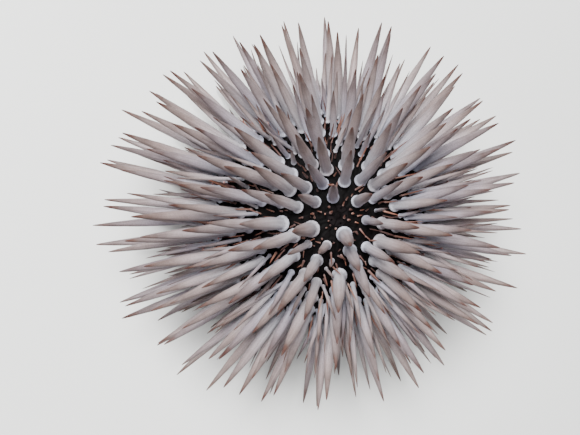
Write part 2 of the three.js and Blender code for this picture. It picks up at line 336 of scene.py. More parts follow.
MOUTH_FOOT_PROFILE = [
    (9.0, 0.6),
    (7.6, 0.56),
    (7.0, 0.5),
    (6.2, 0.44),
    (5.5, 0.46),
    (5.3, 0.72),
    (5.05, 0.86),
    (4.75, 0.85),
    (4.6, 0.7),
    (4.75, 0.4),
]

# The floor's width, and the lights: name, place, size, power and colour
FLOOR_SIZE = 2
LIGHTS = [
    ("key", (-0.2, 0.2, 0.62), 0.3, 19, (0.98, 1.0, 1.0)),
    ("fill", (0.5, -0.35, 0.45), 0.6, 1.5, (0.93, 0.96, 1.0)),
    ("back", (0.1, 0.6, 0.25), 0.5, 1.0, (1.0, 1.0, 1.0)),
]

# The glow round the horizon: the sine of an elevation, and the brightness there
GLOW = [(0.1, 0.85), (0.55, 0.04)]
GLOW_TINT = (0.95, 0.97, 1.0)

# The camera: how far it leans from straight above towards -X, and where the test's centre falls
PHOTO_WIDTH = 580
VIEW_ANGLE = math.radians(38)
CAMERA_TILT = math.radians(14)
CAMERA_DISTANCE = 215.9
CENTRE_RIGHT_OF_MIDDLE = 29
CENTRE_ABOVE_MIDDLE = 1.5


def millimetres(value):
    return value * 0.001


def mix(a, b, t):
    return a + (b - a) * t


def smooth(x, low, high):
    """From 0 at one value to 1 at another, with soft ends."""
    t = np.clip((x - low) / (high - low), 0, 1)
    return t * t * (3 - 2 * t)


def between_levels(polar, levels):
    """From 0 at the first of two levels in degrees to 1 at the second."""
    return smooth(polar, math.radians(levels[0]), math.radians(levels[1]))


def bell(distance, height, width):
    """A rounded rise where the distance is 0."""
    return height * np.exp(-((distance / width) ** 2))


def chance(item, use):
    """A number from 0 to 1 that is always the same for one item and one use."""
    wave = math.sin(item * 12.9898 + use * 78.233) * 43758.5453
    return wave - math.floor(wave)


def half_height(polar):
    return np.where(polar < math.pi / 2, UPPER_HEIGHT, LOWER_HEIGHT)


def surface_point(azimuth, polar):
    """The point of the smooth test at an azimuth and an angle from the apex, in radians."""
    across = np.sin(polar)
    return np.stack(
        [
            HALF_LENGTH * across * np.cos(azimuth),
            HALF_WIDTH * across * np.sin(azimuth),
            WIDEST_LEVEL + half_height(polar) * np.cos(polar),
        ],
        axis=-1,
    )


def surface_normal(azimuth, polar):
    across = np.sin(polar)
    normal = np.stack(
        [
            across * np.cos(azimuth) / HALF_LENGTH,
            across * np.sin(azimuth) / HALF_WIDTH,
            np.cos(polar) / half_height(polar),
        ],
        axis=-1,
    )
    return unit(normal)


def unit(vectors):
    return vectors / np.linalg.norm(vectors, axis=-1, keepdims=True)


def meridian_speed(azimuth, polar):
    """How far a point moves along its meridian for each radian from the apex."""
    reach = math.hypot(HALF_LENGTH * math.cos(azimuth), HALF_WIDTH * math.sin(azimuth))
    return math.hypot(reach * math.cos(polar), float(half_height(polar)) * math.sin(polar))


def inside_zone(azimuth, zone, polar, size):
    """The nearest azimuth that keeps a neck inside its zone."""
    middle = math.radians(FIRST_ZONE_AZIMUTH + ZONE_TURN * zone)
    from_axis = HALF_WIDTH * math.sin(polar)
    room = from_axis * math.sin(math.radians(ZONE_TURN / 2)) - GAP - NECK_RADIUS * size
    turn = math.asin(min(max(room / from_axis, 0), 1))
    return min(max(azimuth, middle - turn), middle + turn)


class Column:
    """A column of spines, with how far down it has been walked and how many feet it has so far."""

    def __init__(self, order, zone, side, distance, azimuth, size, last):
        self.order = order
        self.zone = zone
        self.side = side
        self.distance = distance
        self.azimuth = azimuth
        self.size = size
        self.last = last
        self.count = 0
        self.travelled = 0.0
        self.due = distance

    def step_down(self, polar, step, feet):
        """Sets a foot where one is due, once its collar is clear of those already there."""
        azimuth, zigzag = self.place(polar)
        if self.travelled >= self.due:
            foot = self.foot_at(azimuth, polar)
            if is_clear(foot, feet):
                feet.append(foot)
                self.count += 1
                below = between_levels(polar, SHRINK_DOWNWARD)
                spacing = SPINE_SPACING * mix(1, ZIGZAG_SPACING, abs(zigzag))
                spacing *= mix(*SPACING_VARIES, chance(foot["item"], 3))
                self.due += spacing * mix(1, SPACING_AT_MOUTH, below)
        self.travelled += meridian_speed(azimuth, polar) * step

    def place(self, polar):
        """The column's azimuth at this level, and how far its next foot steps to the side."""
        middle = FIRST_ZONE_AZIMUTH + ZONE_TURN * self.zone
        narrow = middle + self.side * COLUMN_OFFSET[self.zone % 2]
        first = narrow + ((self.azimuth - narrow) % 360 + 540) % 360 - 180
        wide = between_levels(polar, ZONE_WIDENS) * (1 - between_levels(polar, ZONE_NARROWS))
        zigzag = 0 if self.side else wide * (1 if self.count % 2 else -1)
        settled = mix(narrow, middle + self.side * WIDE_COLUMN_OFFSET, wide) + zigzag * ZIGZAG_OFFSET
        drift = math.exp(-max(self.travelled - self.distance, 0) / SETTLING_LENGTH)
        return math.radians(mix(settled, first, drift)), zigzag

    def foot_at(self, azimuth, polar):
        """The foot that the column's next spine would have here."""
        item = self.order * ITEMS_PER_COLUMN + self.count
        below = between_levels(polar, SHRINK_DOWNWARD)
        small = self.count > 1 and chance(item, 1) < SMALL_SPINE_CHANCE
        usual = mix(*SIZE_VARIES, chance(item, 2)) * (SMALL_SPINE if small else 1)
        grown = usual * mix(1, SIZE_AT_SIDE, between_levels(polar, SHRINK_OUTWARD))
        size = (grown if self.count else self.size) * mix(1, SIZE_AT_MOUTH, below)
        kept = inside_zone(azimuth, self.zone, polar, size)
        return {"item": item, "zone": self.zone, "polar": polar, "size": size, "azimuth": kept}


def all_columns():
    """Two main columns to a zone, and one between them where the zone is wide."""
    columns = []
    for k, (distance, azimuth, size) in enumerate(FIRST_SPINES):
        side = 1 if k % 2 else -1
        columns.append(Column(k, k // 2, side, distance, azimuth, size, LAST_FOOT))
    for zone in range(ZONES):
        order = len(FIRST_SPINES) + zone
        distance = MIDDLE_COLUMN_START + MIDDLE_COLUMN_VARIES * chance(order, 8)
        azimuth = FIRST_ZONE_AZIMUTH + ZONE_TURN * zone
        columns.append(Column(order, zone, 0, distance, azimuth, MIDDLE_COLUMN_SIZE, LAST_MIDDLE_FOOT))
    return columns


def is_clear(foot, feet):
    """Whether a foot's collar stands clear of those already there."""
    root = surface_point(foot["azimuth"], foot["polar"])
    for other in feet:
        apart = np.linalg.norm(root - surface_point(other["azimuth"], other["polar"]))
        if apart < COLLAR_RADIUS * (foot["size"] + other["size"]) + COLLAR_GAP:
            return False
    return True


def all_feet():
    """All columns are walked down together, so that a foot finds those above it in place."""
    columns = all_columns()
    feet = []
    step = math.radians(WALK_STEP)
    polar = 0.0
    while polar < math.radians(LAST_FOOT):
        for column in columns:
            if polar < math.radians(column.last):
                column.step_down(polar, step, feet)
        polar += step
    return feet


def pose_spine(foot):
    """Where a spine points before its neighbours push it, and how long it is."""
    item, polar = foot["item"], foot["polar"]
    root = surface_point(foot["azimuth"], polar)
    normal = surface_normal(foot["azimuth"], polar)
    fan = unit((root - FAN_FOCUS) * np.array([1, CROSSWISE_LEAN, 1]))
    outward = unit(root * np.array([1, 1, 0]))
    splayed = unit(normal + outward * SPLAY_BELOW)
    direction = mix(fan, splayed, between_levels(polar, SPLAY_SETS_IN))
    direction = direction + JITTER * np.array([2 * chance(item, use) - 1 for use in (4, 5, 6)])
    upper = mix(LENGTH_AT_APEX, LENGTH_AT_SIDE, math.sin(min(polar, math.pi / 2)))
    lower = between_levels(polar, SHORTEN_DOWNWARD)
    longer = (lower - 1) * LONGER_ON_OPEN_SIDE * root[0] / HALF_LENGTH
    slender = mix(LENGTH_IF_SLENDER, 1, min(foot["size"], 1))
    length = (mix(upper, LENGTH_AT_MOUTH, lower) + longer) * slender
    length *= mix(*LENGTH_VARIES, chance(item, 7))
    return {**foot, "root": root, "normal": normal, "direction": unit(direction), "length": length}


def radius_at(size, share):
    """How thick a spine counts as at a share of its length, when neighbours are turned apart."""
    thick = SHAFT_RADIUS * size
    if share < TAPER_START:
        return mix(COLLAR_RADIUS * size, thick, min(share * COLLAR_NARROWING, 1))
    return thick * mix(1, TIP_SHARE, (share - TAPER_START) / (1 - TAPER_START))


def spread_spines(spines):
    """Turns neighbouring spines apart where their shafts would touch."""
    shares = (np.arange(SAMPLES) + 0.5) / SAMPLES
    roots = np.array([s["root"] for s in spines])
    lengths = np.array([s["length"] for s in spines])
    directions = np.array([s["direction"] for s in spines])
    radii = np.array([[radius_at(s["size"], t) for t in shares] for s in spines])
    first, second = np.triu_indices(len(spines), 1)
    near = np.linalg.norm(roots[first] - roots[second], axis=1) < NEIGHBOUR_REACH
    first, second = first[near], second[near]
    for _ in range(SPREADING_ROUNDS):
        places = roots[:, None] + directions[:, None] * (lengths[:, None] * shares)[..., None]
        apart = places[first][:, :, None] - places[second][:, None]
        far = np.linalg.norm(apart, axis=-1)
        short = radii[first][:, :, None] + radii[second][:, None] + CLEARANCE - far
        weight = np.where(short > 0, PUSH_SHARE * short / far, 0)
        push = np.zeros_like(roots)
        np.add.at(push, first, (apart * (weight * shares[None, :, None])[..., None]).sum((1, 2)))
        np.add.at(push, second, -(apart * (weight * shares[None, None, :])[..., None]).sum((1, 2)))
        directions = unit(directions * lengths[:, None] + push)
    for spine, direction in zip(spines, directions):
        spine["direction"] = direction


def meet_floor(spine):
    """A spine that would reach under the floor is only as long as takes it just through."""
    drop = spine["root"][2] + FOOT_BELOW_FLOOR
    if spine["direction"][2] * spine["length"] < -drop:
        spine["length"] = drop / -spine["direction"][2]


def all_spines():
    spines = [pose_spine(foot) for foot in all_feet()]
    spread_spines(spines)
    for spine in spines:
        meet_floor(spine)
    return spines


class Bundle:
    """Many tubes gathered into one mesh, with a bake map and values that the materials read."""

    def __init__(self):
        self.points = []
        self.faces = []
        self.maps = []
        self.along = []
        self.tone = []
        self.count = 0

    def add_tube(self, rings, along, tone, patch):
        """rings: (levels, faces, 3) points. patch: the low corner and size of its place in the bake map."""
        levels, around, _ = rings.shape
        self.points.append(rings.reshape(-1, 3))
        self.along.append(np.repeat(along, around))
        self.tone.append(np.full(levels * around, tone))
        (u0, v0), (du, dv) = patch
        start = self.count
        share = np.linspace(0, 1, levels)
        for i in range(levels - 1):
            for j in range(around):
                k = (j + 1) % around
                a, b = start + i * around, start + (i + 1) * around
                self.faces.append((a + j, a + k, b + k, b + j))
                left, right = u0 + du * j / around, u0 + du * (j + 1) / around
                low, high = v0 + dv * share[i], v0 + dv * share[i + 1]
                self.maps += [(left, low), (right, low), (right, high), (left, high)]
        top = start + (levels - 1) * around
        self.faces.append(tuple(top + j for j in range(around)))
        self.maps += [(u0 + du * j / around, v0 + dv) for j in range(around)]
        self.faces.append(tuple(start + j for j in reversed(range(around))))
        self.maps += [(u0 + du * j / around, v0) for j in reversed(range(around))]
        self.count += levels * around

    def piece(self, name, material):
        return make_piece(
            name,
            np.concatenate(self.points),
            self.faces,
            self.maps,
            material,
            {"along": np.concatenate(self.along), "tone": np.concatenate(self.tone)},
        )


def make_piece(name, points, faces, maps, material, values):
    mesh = bpy.data.meshes.new(name)
    placed = millimetres(np.asarray(points) + TEST_PLACE)
    mesh.from_pydata(placed.tolist(), [], faces)
    layer = mesh.uv_layers.new(name="OFBake")
    layer.data.foreach_set("uv", np.asarray(maps, np.float32).ravel())
    for key, numbers in values.items():
        attribute = mesh.attributes.new(key, "FLOAT", "POINT")
        attribute.data.foreach_set("value", np.asarray(numbers, np.float32))
    mesh.polygons.foreach_set("use_smooth", np.ones(len(mesh.polygons), bool))
    mesh.materials.append(material)
    mesh.update()
    piece = bpy.data.objects.new(name, mesh)
    bpy.context.scene.collection.objects.link(piece)
    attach(piece, "root")
    return piece


def side_axes(direction):
    """Two unit vectors square to a direction."""
    helper = np.array([0.0, 0.0, 1.0]) if abs(direction[2]) < 0.9 else np.array([1.0, 0.0, 0.0])
    first = unit(np.cross(direction, helper))
    return first, np.cross(direction, first)


def tube_rings(root, direction, heights, radii, faces, turn=0.0, ridge=0.0, bend=0.0):
    """Rings along a straight or evenly bent tube, whose ridges stand out by a share of its radius."""
    first, second = side_axes(direction)
    angles = np.linspace(0, 2 * math.pi, faces, endpoint=False) + turn
    circle = np.cos(angles)[:, None] * first + np.sin(angles)[:, None] * second
    bent = first * math.cos(turn) + second * math.sin(turn)
    centres = root + heights[:, None] * direction + (bend * heights**2)[:, None] * bent
    ridges = 1 + np.reshape(ridge, (-1, 1)) * np.cos(np.arange(faces) * math.pi)
    return centres[:, None] + (radii[:, None] * ridges)[..., None] * circle


def spine_profile(spine):
    """The heights of a spine's rings and their radii."""
    size, length = spine["size"], spine["length"]
    lower = SPINE_FOOT + SPINE_NECK
    heights = [height * size for height, _ in lower]
    radii = [radius * size for _, radius in lower]
    neck_top = heights[-1]
    for share, of_full in SPINE_SHAFT:
        height = length * share
        if height > neck_top + SHAFT_ABOVE_NECK:
            heights.append(height)
            radii.append(of_full * FULL_SHAFT * size)
    return np.array(heights), np.array(radii)


def along_spine(heights, size, length):
    """From 0 to COLLAR_SHARE over the collar and neck, and on to 1 at the tip."""
    neck = COLLAR_TOP * size
    shaft = np.clip((heights - neck) / (length - neck), 0, 1)
    return COLLAR_SHARE * np.clip(heights / neck, 0, 1) + (1 - COLLAR_SHARE) * shaft


def add_spine(bundle, spine, faces, patch):
    heights, radii = spine_profile(spine)
    uneven = 1 + UNEVEN * np.sin(heights * UNEVEN_WAVE + ABOUT_A_TURN * chance(spine["item"], 9))
    milled = np.abs(heights / spine["size"] - MILLED_HEIGHT) < MILLED_REACH
    ridge = np.where(milled, MILLED_EDGE, FLUTES)
    turn = ABOUT_A_TURN * chance(spine["item"], 10)
    rings = tube_rings(spine["root"], spine["direction"], heights, radii * uneven, faces, turn, ridge)
    rings[..., 2] = np.maximum(rings[..., 2], 0)
    along = along_spine(heights, spine["size"], spine["length"])
    bundle.add_tube(rings, along, chance(spine["item"], 11), patch)


def strip(k, count, width):
    """The low corner and size of one of several upright strips of the bake map."""
    return (k / count, STRIP_MARGIN), (width / count, STRIP_HEIGHT)


def large_spines(spines, material):
    """One piece for each zone's large spines, which stand on the skin's bosses."""
    for zone in range(ZONES):
        own = [s for s in spines if s["zone"] == zone]
        bundle = Bundle()
        for k, spine in enumerate(own):
            add_spine(bundle, spine, SPINE_FACES, strip(k, len(own), SPINE_STRIP))
        kind = "ambulacrum" if zone % 2 else "interambulacrum"
        node = f"{kind}_{zone // 2 + 1}"
        piece = bundle.piece(f"spines_{node}", material)
        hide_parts(node)


def pack_spines(spines):
    """The spines' roots, directions, lengths and sizes as arrays."""
    return [np.array([s[key] for s in spines]) for key in ("root", "direction", "length", "size")]


def clear_length(root, direction, longest, radius, packed, turn=0.0, bend=0.0):
    """How far a thin spine or foot can go along its own bend before it meets one of those given."""
    shares = np.linspace(CLEAR_FROM, 1, CLEAR_SAMPLES)
    first, second = side_axes(direction)
    bent = first * math.cos(turn) + second * math.sin(turn)
    along = (longest * shares)[:, None]
    points = root + direction * along + bent * bend * along**2
    roots, ways, lengths, sizes = packed
    reach = points[:, None] - roots
    run = np.clip((reach * ways).sum(-1), 0, lengths)
    gap = np.linalg.norm(reach - run[..., None] * ways, axis=-1)
    share = run / lengths
    full, gone = COUNTS_AS_FULL
    shaft = FULL_SHAFT * np.where(share < full, 1, (gone - share) / (gone - full))
    thick = sizes * np.where(run < COLLAR_REACH * sizes, COLLAR_RADIUS, shaft)
    blocked = (gap < thick + radius + THIN_GAP).any(axis=1)
    if not blocked.any():
        return longest
    return longest * shares[max(int(np.argmax(blocked)) - SAMPLES_SHORT, 0)]


def find_way(root, lie, longest, radius, packed, draw, wander=WANDER, turn=0.0, bend=0.0):
    """The clearest of several directions drawn round a given one, and the length that is free along it."""
    best, way = 0.0, lie
    for _ in range(TRIES):
        candidate = unit(lie + draw.normal(0, wander, 3))
        free = clear_length(root, candidate, longest, radius, packed, turn, bend)
        if free > best and (root + candidate * free)[2] > FLOOR_CLEARANCE + radius:
            best, way = free, candidate
    return best, way


def lie_of(root, normal, packed):
    """The direction of the nearest spines, raised a little off the skin."""
    near = np.argsort(np.linalg.norm(packed[0] - root, axis=1))[:LIE_NEIGHBOURS]
    return unit(unit(packed[1][near].sum(0)) + LIE_RAISED * normal)


def gap_feet(packed, spacing, least_gap, draw):
    """Places clear of the spines' collars, at an even spacing with a little scatter."""
    roots, _, _, sizes = packed
    feet = []
    polar = GAP_FEET_START
    while polar < math.radians(GAP_FEET_TO):
        ring = math.sin(polar) * (HALF_LENGTH + HALF_WIDTH) / 2
        count = max(int(2 * math.pi * ring / spacing), 1)
        for k in range(count):
            azimuth = 2 * math.pi * (k + draw.uniform(-GAP_SCATTER, GAP_SCATTER)) / count
            here = polar + draw.uniform(-GAP_SCATTER, GAP_SCATTER) * spacing / USUAL_RADIUS
            root = surface_point(azimuth, here)
            gap = float((np.linalg.norm(roots - root, axis=1) - sizes * COLLAR_RADIUS).min())
            if gap > least_gap and math.sin(here) * HALF_WIDTH > APEX_BARE_RADIUS:
                feet.append((azimuth % (2 * math.pi), here, root, gap))
        polar += spacing / meridian_speed(USUAL_AZIMUTH, polar)
    return feet


def tuft_patch(azimuth, polar):
    """A small patch of the bake map at the root's own place on the skin."""
    return (azimuth / (2 * math.pi) * TUFT_SPREAD, polar / math.pi), (TUFT_PATCH, TUFT_PATCH)


def middling_spines(spines, material):
    """Spines like the large ones at a third to over half of their size, in the wider gaps."""
    draw = np.random.default_rng(5)
    packed = pack_spines(spines)
    least = COLLAR_RADIUS * MIDDLING_SIZE[0] + MIDDLING_LEAST_ROOM
    chosen = []
    halves = [Bundle(), Bundle()]
    for azimuth, polar, root, gap in gap_feet(packed, MIDDLING_SPACING, least, draw):
        size = min(draw.uniform(*MIDDLING_SIZE), (gap - MIDDLING_ROOM) / COLLAR_RADIUS)
        close = any(
            np.linalg.norm(s["root"] - root) < COLLAR_RADIUS * (s["size"] + size) + MIDDLING_ROOM
            for s in chosen
        )
        upper = polar < math.radians(MIDDLING_FROM)
        if close or polar < math.radians(MIDDLING_FIRST) or (upper and gap < MIDDLING_APEX_GAP):
            continue
        shorter = MIDDLING_SHORTER_BY * smooth(polar, *MIDDLING_SHORTENS)
        scale = MIDDLING_APEX_SCALE if upper else 1 - shorter
        size *= mix(1, scale, 0.5)
        normal = surface_normal(azimuth, polar)
        wanted = draw.uniform(*MIDDLING_LENGTH) * scale
        girth = FULL_SHAFT * size
        there = pack_spines(spines + chosen)
        length, way = find_way(root, lie_of(root, normal, packed), wanted, girth, there, draw)
        if length < MIDDLING_SHORTEST * scale:
            continue
        item = len(spines) * ITEMS_PER_COLUMN + len(chosen)
        spine = {"item": item, "root": root, "direction": way, "length": length, "size": size}
        add_spine(halves[int(azimuth / math.pi)], spine, MIDDLING_FACES, tuft_patch(azimuth, polar))
        chosen.append(spine)
    for k, half in enumerate(halves):
        piece = half.piece(f"middling_spines_{k + 1}", material)
    return chosen


def small_spines(spines, material):
    """Fine spines in what the others leave free, shorter towards the apex and the mouth."""
    draw = np.random.default_rng(11)
    packed = pack_spines(spines)
    chosen = []
    bundles = [Bundle() for _ in range(4)]
    heights, radii = np.array(SMALL_PROFILE).T
    for azimuth, polar, root, gap in gap_feet(packed, SMALL_SPACING, SMALL_LEAST_GAP, draw):
        normal = surface_normal(azimuth, polar)
        girth = draw.uniform(*SMALL_RADIUS)
        girth *= min(SMALL_THINNEST + gap * SMALL_THICKER_BY_GAP, SMALL_THICKEST)
        from_axis = math.sin(polar) * HALF_WIDTH
        wanted = draw.uniform(*SMALL_LENGTH) * smooth(from_axis, *SMALL_LENGTHEN)
        wanted *= (girth / SMALL_RADIUS[1]) ** 0.5
        there = pack_spines(spines + chosen)
        length, way = find_way(root, lie_of(root, normal, packed), wanted, girth, there, draw)
        if length < SMALL_SHORTEST:
            continue
        turn = draw.uniform(0, ABOUT_A_TURN)
        rings = tube_rings(root, way, heights * length, radii * girth, SMALL_FACES, turn)
        along = np.clip(heights, 0, 1)
        quarter = int(4 * azimuth / (2 * math.pi))
        bundles[quarter].add_tube(rings, along, draw.uniform(), tuft_patch(azimuth, polar))
        chosen.append({"root": root, "direction": way, "length": length, "size": girth / FULL_SHAFT})
    for k, bundle in enumerate(bundles):
        piece = bundle.piece(f"small_spines_{k + 1}", material)
    return chosen


def tube_feet(spines, material):
    """Soft feet with a sucker each, in two rows of pores to an ambulacrum."""
    draw = np.random.default_rng(3)
    packed = pack_spines(spines)
    bundle = Bundle()
    heights, radii = np.array(TUBE_FOOT_PROFILE).T
    radii = radii * TUBE_FOOT_RADIUS
    for row in range(ZONES):
        side = 1 if row % 2 else -1
        edge = math.radians(FIRST_ZONE_AZIMUTH + ZONE_TURN * (row + 0.5))
        polar = math.radians(TUBE_FEET_FROM)
        while polar < math.radians(TUBE_FEET_TO):
            inward = side * PORE_FROM_EDGE / (HALF_WIDTH * math.sin(polar))
            azimuth = (edge - inward) % (2 * math.pi)
            root = surface_point(azimuth, polar)
            normal = surface_normal(azimuth, polar)
            wanted = draw.uniform(*TUBE_FOOT_LENGTH)
            lie = unit(lie_of(root, normal, packed) + TUBE_FOOT_RAISED * normal)
            turn = draw.uniform(0, ABOUT_A_TURN)
            bend = TUBE_FOOT_BEND * draw.uniform()
            girth = TUBE_FOOT_RADIUS * TUBE_FOOT_ROOM
            length, way = find_way(root, lie, wanted, girth, packed, draw, TUBE_FOOT_WANDER, turn, bend)
            if length > TUBE_FOOT_SHORTEST:
                rings = tube_rings(root, way, heights * length, radii, TUBE_FOOT_FACES, turn, bend=bend)
                along = np.clip(heights, 0, 1)
                bundle.add_tube(rings, along, draw.uniform(), tuft_patch(azimuth, polar))
            spacing = TUBE_FOOT_SPACING * draw.uniform(*TUBE_FOOT_SCATTER)
            polar += spacing / meridian_speed(azimuth, polar)
    piece = bundle.piece("tube_feet", material)


def teeth(material):
    """Five teeth that meet at a point in the mouth, each keeled on its inner side."""
    bundle = Bundle()
    section = np.array(TOOTH_SECTION)
    path = np.array(TOOTH_PATH)
    for k in range(TEETH):
        azimuth = math.radians(FIRST_ZONE_AZIMUTH + 2 * ZONE_TURN * k)
        outward = np.array([math.cos(azimuth), math.sin(azimuth), 0])
        sideways = np.array([-math.sin(azimuth), math.cos(azimuth), 0])
        centres = path[:, :1] * outward + path[:, 1:2] * np.array([0, 0, 1])
        shape = section[:, :1] * sideways + section[:, 1:] * outward
        rings = centres[:, None] + path[:, 2][:, None, None] * shape
        along = np.linspace(0, 1, len(path))
        bundle.add_tube(rings, along, TOOTH_TONE, strip(k, TEETH, MOUTH_STRIP))
    piece = bundle.piece("teeth", material)
    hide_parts("peristome")


def mouth_feet(material):
    """Ten short feet with wide suckers, in pairs on the mouth membrane."""
    bundle = Bundle()
    levels, radii = np.array(MOUTH_FOOT_PROFILE).T
    down = np.array([0.0, 0.0, -1.0])
    for k in range(MOUTH_FEET):
        pair = (k // 2) * 2 * ZONE_TURN + ZONE_TURN
        side = MOUTH_FOOT_SPREAD if k % 2 else -MOUTH_FOOT_SPREAD
        azimuth = math.radians(FIRST_ZONE_AZIMUTH + pair + side)
        root = MOUTH_FOOT_RING * np.array([math.cos(azimuth), math.sin(azimuth), 0]) - levels[0] * down
        rings = tube_rings(root, down, levels[0] - levels, radii, MOUTH_FOOT_FACES, ridge=MOUTH_FOOT_RIDGE)
        along = np.linspace(0, 1, len(levels))
        bundle.add_tube(rings, along, chance(k, 12), strip(k, MOUTH_FEET, MOUTH_STRIP))
    piece = bundle.piece("mouth_feet", material)
    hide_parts("peristome")


def plate_relief(azimuth, polar):
    """The seams between the plates of the test, and the pores along the ambulacra."""
    zone_place = (np.degrees(azimuth) - FIRST_ZONE_AZIMUTH + ZONE_TURN / 2) / ZONE_TURN
    within = zone_place % 1
    edge = np.minimum(within, 1 - within)
    wide = np.sin(polar) * (HALF_LENGTH + HALF_WIDTH) / 2 * math.radians(ZONE_TURN)
    rows = polar * HALF_WIDTH / PLATE_HEIGHT
    stagger = np.where(within < 0.5, rows, rows + 0.5)
    zigzag = np.abs((rows % 1) - 0.5) * SEAM_ZIGZAG - SEAM_ZIGZAG_MIDDLE
    seam_middle = np.abs((within - 0.5) * wide - zigzag * SEAM_ZIGZAG_WIDTH)
    seam_row = np.abs((stagger % 1) - 0.5) * PLATE_HEIGHT
    relief = np.zeros(azimuth.shape)
    seams = ((seam_middle, MIDDLE_SEAM), (edge * wide, EDGE_SEAM), (seam_row, ROW_SEAM))
    for seam, width in seams:
        relief -= bell(seam, SUTURE_DEPTH, width)
    pored = (np.floor(zone_place).astype(int) % 2) == 1
    near_pores = np.abs(edge * wide - PORE_FROM_EDGE) < PORE_BAND
    pore_rows = np.cos(rows * 2 * math.pi * PORES_PER_PLATE) > PORE_OPENS
    return relief - np.where(pored & near_pores & pore_rows, PORE_DEPTH, 0)


def disc_relief(azimuth, ring):
    """Five plates with a pore each round the low dome over the anus, one of them a sieve plate."""
    place = (np.degrees(azimuth) - FIRST_ZONE_AZIMUTH) / (2 * ZONE_TURN) + 0.5
    from_middle = ((place % 1) - 0.5) * ring * math.radians(2 * ZONE_TURN)
    half = ring * math.radians(ZONE_TURN)
    inner_edge = PERIPROCT_RADIUS + INNER_SLOPE
    plate = APICAL_PLATE_HEIGHT * smooth(ring, PERIPROCT_RADIUS, inner_edge)
    plate *= 1 - smooth(ring, OUTER_EDGE, DISC_RADIUS)
    seam = bell(half - np.abs(from_middle), APICAL_SEAM_DEPTH, APICAL_SEAM_WIDTH)
    from_pore = np.hypot(ring - GENITAL_PORE_RING, from_middle)
    pore = bell(from_pore, GENITAL_PORE_DEPTH, GENITAL_PORE_WIDTH)
    dome = DOME_HEIGHT * (1 - smooth(ring, DOME_TOP, PERIPROCT_RADIUS))
    dome *= 1 + DOME_LOBE_SHARE * np.cos(azimuth * DOME_LOBES)
    sieve = ((np.floor(place).astype(int) % APICAL_PLATES) == SIEVE_PLATE) & (plate > SIEVE_ABOVE)
    holes = SIEVE_DEPTH * np.cos(ring * SIEVE_WAVE) * np.cos(from_middle * SIEVE_WAVE)
    return plate - seam * (plate > APICAL_SEAM_ABOVE) - pore + dome + np.where(sieve, holes, 0)


def mouth_relief(azimuth, ring):
    """The mouth membrane, pleated towards the lip, and the hollow that holds the teeth."""
    inside = 1 - smooth(ring, MOUTH_RADIUS - MOUTH_EDGE, MOUTH_RADIUS)
    folds = FOLD_HEIGHT * np.cos(azimuth * FOLDS + FOLD_SWAY * np.sin(ring * FOLD_SWAY_WAVE))
    folds *= smooth(ring, LIP_RADIUS, LIP_RADIUS + FOLDS_FADE_OVER)
    rims = RIM_HEIGHT * np.cos(ring * RIM_WAVE + RIM_SWAY * np.sin(azimuth * RIM_LOBES))
    pleats = 1 + LIP_PLEAT_SHARE * np.cos(azimuth * LIP_PLEATS)
    lip = bell(ring - LIP_RADIUS, LIP_THICKNESS * pleats, LIP_WIDTH)
    hollow = MOUTH_HOLLOW * (1 - smooth(ring, *MOUTH_HOLLOW_SLOPE))
    return inside * (folds + rims - MOUTH_SINK) + lip - hollow


def test_skin(spines, material):
    """One skin over the whole test, with the disc, the mouth and a boss under every large spine."""
    azimuths = np.linspace(0, 2 * math.pi, SKIN_AROUND, endpoint=False)
    disc_edge = DISC_RADIUS / HALF_WIDTH
    disc = np.linspace(SKIN_TOP_HOLE, disc_edge, DISC_DOWN, endpoint=False)
    polars = np.concatenate([disc, np.linspace(disc_edge, math.pi - SKIN_BOTTOM_HOLE, SKIN_DOWN)])
    azimuth, polar = np.meshgrid(azimuths, polars)
    place = surface_point(azimuth, polar)
    normal = surface_normal(azimuth, polar)
    ring = np.linalg.norm(place[..., :2], axis=-1)
    on_disc = (polar < math.pi / 2) & (ring < DISC_RADIUS)
    in_mouth = (polar > math.pi / 2) & (ring < MOUTH_RADIUS)
    height = np.where(on_disc, disc_relief(azimuth, ring), plate_relief(azimuth, polar))
    height = np.where(in_mouth, mouth_relief(azimuth, ring), height) - SKIN_SINK
    for spine in spines:
        apart = np.linalg.norm(place - spine["root"], axis=-1) / spine["size"]
        boss = BOSS_HEIGHT * (1 - smooth(apart, *BOSS_SLOPE))
        boss += KNOB_HEIGHT * (1 - smooth(apart, *KNOB_SLOPE))
        height += boss - bell(apart - MOAT_RING, MOAT_DEPTH, MOAT_WIDTH)
    points = (place + normal * height[..., None]).reshape(-1, 3)
    down = len(polars)
    faces, maps = [], []
    for i in range(down - 1):
        for j in range(SKIN_AROUND):
            k = (j + 1) % SKIN_AROUND
            a, b = i * SKIN_AROUND, (i + 1) * SKIN_AROUND
            faces.append((a + j, b + j, b + k, a + k))
            left, right = j / SKIN_AROUND, (j + 1) / SKIN_AROUND
            high, low = i / (down - 1), (i + 1) / (down - 1)
            maps += [(left, high), (left, low), (right, low), (right, high)]
    faces.append(tuple(range(SKIN_AROUND)))
    maps += [(j / SKIN_AROUND, 0) for j in range(SKIN_AROUND)]
    last = (down - 1) * SKIN_AROUND
    faces.append(tuple(last + j for j in reversed(range(SKIN_AROUND))))
    maps += [(j / SKIN_AROUND, 1) for j in reversed(range(SKIN_AROUND))]
    soft = in_mouth * (1 - smooth(ring, MOUTH_RADIUS - SOFT_SKIN_EDGE, MOUTH_RADIUS))
    soft = soft * smooth(ring, *SOFT_SKIN_INNER_EDGE)
    # The skin's relief height goes to its material as "along", which paints it as shade: darker where the
    # skin lies lower.
    values = {"along": height.reshape(-1), "tone": soft.reshape(-1)}
    piece = make_piece("test_skin", points, faces, maps, material, values)
    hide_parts("apical_disc")
    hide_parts("peristome")


def linear(red, green, blue):
    """A colour given as 0 to 255 on a screen, as the renderer's linear values."""
    out = []
    for value in (red, green, blue):
        share = value / 255
        out.append(share / 12.92 if share <= 0.04045 else ((share + 0.055) / 1.055) ** 2.4)
    return (*out, 1.0)


